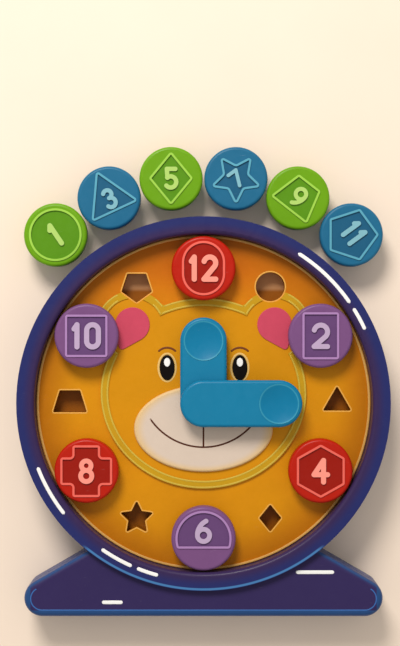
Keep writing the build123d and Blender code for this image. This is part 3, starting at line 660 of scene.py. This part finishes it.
def headLines(look):  # lines along the head's outer edge and along the edge of its sunk face
    earRadius, pocketRadius = look["earRadius"], look["earRadius"] - look["earRim"]
    ears = {side: (side * look["earX"], look["earY"], earRadius, earRadius) for side in (-1, 1)}
    pockets = {side: (side * look["earX"], look["earY"], pocketRadius, pocketRadius) for side in (-1, 1)}
    rims = ((-look["inset"], look["outer"], ears), (look["inset"], look["inner"], pockets))
    runs = []
    for grow, main, rounds in rims:
        for own, others in [(main, list(rounds.values()))] + [(rounds[side], [main]) for side in (-1, 1)]:
            path = ellipsePath(own, grow)
            keep = ~nearHole(path, look)
            for other in others:
                keep &= ~insideEllipse(path, other, grow)
            if grow > 0:
                wholes = (look["outer"], ears[-1], ears[1])
                keep &= np.any([insideEllipse(path, whole, -grow) for whole in wholes], axis=0)
                for side in (-1, 1):
                    keep &= ~insidePocket(path, look["pocket"], side, grow)
            runs += openRuns(path, keep)
    return runs


for index, run in enumerate(headLines(headLine)):
    widths = roundEnds(run, headLine["halfWidth"])
    line = filmStrip(f"head_line_{index + 1}", run, widths, headLine["level"], headLine["rise"], printLime)
    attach(line, "housing")
print("head lines laid")

# a pale amber rim painted as a highlight round each socket's edge
socketRimHighlight = makePlain("socketRimHighlight", (232, 170, 76), {"gloss": 0.42, "wear": 0.05})
# surface, circle and widest pick the sockets out of all edges of the dial, and the rest shapes their rims
socketRim = {
    "surface": 22.0, "flatness": 0.02, "circle": 81.0, "circleSlack": 4.0, "widest": 28.0, "fewest": 8,
    "spacing": 0.4, "offset": 0.45, "halfWidth": 0.42, "rise": 0.07,
}


def openingLoops(look):  # the closed edges of the dial's openings, read from its own mesh
    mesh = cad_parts["dial_plate"].data
    places = np.empty(len(mesh.vertices) * 3)
    mesh.vertices.foreach_get("co", places)
    places = places.reshape(-1, 3) / mm
    flat = np.abs(places[:, 2] - look["surface"]) < look["flatness"]
    joined = {}
    for polygon in mesh.polygons:
        if abs(polygon.normal.z) > 0.1:  # only walls, whose upper edges go round the openings
            continue
        for ends in polygon.edge_keys:
            if flat[list(ends)].all():
                start, end = (tuple(places[index, :2].round(3)) for index in ends)
                joined.setdefault(start, set()).add(end)
                joined.setdefault(end, set()).add(start)
    loops = []
    while joined:
        corner = next(iter(joined))
        loop = []
        while corner:
            loop.append(corner)
            corner = next((other for other in joined.pop(corner) if other in joined), None)
        loops.append(np.array(loop, float))
    return loops


def smoothLoop(loop, spacing):  # evenly spaced points along a closed loop
    closed = np.concatenate([loop, loop[:1]])
    along = np.concatenate([[0], np.cumsum(np.linalg.norm(np.diff(closed, axis=0), axis=1))])
    even = np.linspace(0, along[-1], int(along[-1] / spacing), endpoint=False)
    return np.stack([np.interp(even, along, closed[:, axis]) for axis in (0, 1)], axis=1)


def socketRims(look):  # a closed strip just outside the edge of each socket, painted as a highlight
    count = 0
    for loop in openingLoops(look):
        if len(loop) < look["fewest"]:
            continue
        centre = (loop.min(axis=0) + loop.max(axis=0)) / 2
        offCircle = abs(np.linalg.norm(centre) - look["circle"]) > look["circleSlack"]
        if offCircle or np.ptp(loop, axis=0).max() > look["widest"]:
            continue
        path = smoothLoop(loop, look["spacing"])
        ahead = np.roll(path, -1, axis=0) - np.roll(path, 1, axis=0)
        ahead /= np.linalg.norm(ahead, axis=1)[:, None]
        outward = np.stack([ahead[:, 1], -ahead[:, 0]], axis=1)
        turning = np.sum(path[:, 0] * np.roll(path[:, 1], -1) - path[:, 1] * np.roll(path[:, 0], -1))
        path = path + outward * math.copysign(look["offset"], turning)
        count += 1
        rim = filmStrip(f"socket_rim_{count}", path, look["halfWidth"], look["surface"], look["rise"],
                        socketRimHighlight, closed=True)
        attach(rim, "housing")
    return count


print("socket rims laid:", socketRims(socketRim))


# Floor, lights and camera

room = {"colour": (0.97, 0.95, 0.92, 1), "strength": 0.58, "seen": 0.9, "mirrored": 0.14}
floorLook = {
    "colour": (252, 232, 212), "darker": 7, "mottle": 14.0, "rough": 0.85, "shine": 0.1, "size": 16.0,
    "drop": 0.0002, "fadeStart": 0.35, "fadeEnd": 1.5,
}
keyLight = {
    "place": (-0.3, 0.95, 1.05), "target": (0, 0.02, 0), "size": 0.55, "power": 15.5,
    "colour": (1.0, 0.97, 0.93),
}


def makeFloor(look):
    grid = np.stack(np.meshgrid([-1, 1], [-1, 1]), axis=-1).reshape(-1, 2) * look["size"] / 2
    points = np.column_stack([grid, np.full(4, -look["drop"])])
    mesh = bpy.data.meshes.new("floor")
    mesh.from_pydata(points.tolist(), [], [(0, 1, 3, 2)])
    material, tree = startMaterial("floorCream")
    place = addNode(tree, "ShaderNodeTexCoord").outputs["Object"]
    mottle = addNode(tree, "ShaderNodeTexNoise", {"Vector": place, "Scale": look["mottle"], "Detail": 5.0})
    colour = mixColour(tree, mottle.outputs["Fac"], displayColour(*look["colour"]),
                       displayColour(*[value - look["darker"] for value in look["colour"]]))
    shader = addNode(tree, "ShaderNodeBsdfPrincipled", {
        "Base Color": colour, "Roughness": look["rough"], "Specular IOR Level": look["shine"],
    })
    # far from the clock the camera sees the floor pass into the room's own paleness
    away = addNode(tree, "ShaderNodeVectorMath", {0: place}, operation="LENGTH").outputs["Value"]
    seen = addNode(tree, "ShaderNodeLightPath").outputs["Is Camera Ray"]
    share = product(tree, seen, ramp(tree, away, look["fadeStart"], look["fadeEnd"]))
    pale = addNode(tree, "ShaderNodeEmission", {"Color": room["colour"], "Strength": room["seen"]})
    faded = addNode(tree, "ShaderNodeMixShader", {0: share, 1: shader.outputs["BSDF"], 2: pale.outputs[0]})
    finishMaterial(tree, faded)
    mesh.materials.append(material)
    floor = bpy.data.objects.new("floor", mesh)
    bpy.context.scene.collection.objects.link(floor)


def makeLight(name, look):  # a round lamp in metres and watts, turned to face its target
    light = bpy.data.lights.new(name, "AREA")
    light.shape = "DISK"
    light.size = look["size"]
    light.energy = look["power"]
    light.color = look["colour"]
    lamp = bpy.data.objects.new(name, light)
    lamp.location = look["place"]
    aim = np.array(look["target"], float) - np.array(look["place"], float)
    tilt = math.atan2(math.hypot(aim[0], aim[1]), -aim[2])
    lamp.rotation_euler = (tilt, 0, math.atan2(aim[1], aim[0]) - math.pi / 2)
    bpy.context.scene.collection.objects.link(lamp)


def makeRoom(look):
    # an even pale room, with its own brightness for what the camera sees and for what glossy faces mirror
    world = bpy.data.worlds.new("softRoom")
    bpy.context.scene.world = world
    world.use_nodes = True
    tree = world.node_tree
    rays = addNode(tree, "ShaderNodeLightPath")
    glossy, direct = rays.outputs["Is Glossy Ray"], rays.outputs["Is Camera Ray"]
    lit = addNode(tree, "ShaderNodeMix", {0: glossy, 2: look["strength"], 3: look["mirrored"]})
    shown = addNode(tree, "ShaderNodeMix", {0: direct, 2: lit.outputs[0], 3: look["seen"]})
    tree.nodes["Background"].inputs["Color"].default_value = look["colour"]
    tree.links.new(shown.outputs[0], tree.nodes["Background"].inputs["Strength"])


makeFloor(floorLook)
makeLight("keyLight", keyLight)
makeRoom(room)

view = {
    "pixelWidth": 400, "pixelHeight": 646, "mmPerPixel": 0.602, "hubX": 203.5, "hubY": 403.0,
    "distance": 0.85, "dialHeight": 0.028, "sensor": 36.0,
}


def makeCamera(look):
    # straight down on the dial; the frame's height in millimetres over the distance sets the lens
    camera = bpy.data.cameras.new("frontCamera")
    camera.sensor_width = look["sensor"]
    frameHeight = look["pixelHeight"] * look["mmPerPixel"] * mm
    camera.lens = look["sensor"] * look["distance"] / frameHeight
    holder = bpy.data.objects.new("frontCamera", camera)
    across = (look["pixelWidth"] / 2 - look["hubX"]) * look["mmPerPixel"] * mm
    along = (look["hubY"] - look["pixelHeight"] / 2) * look["mmPerPixel"] * mm
    holder.location = (across, along, look["dialHeight"] + look["distance"])
    bpy.context.scene.collection.objects.link(holder)
    bpy.context.scene.camera = holder


makeCamera(view)
bpy.context.scene.view_settings.view_transform = "Standard"
print("stage, lights and camera set")
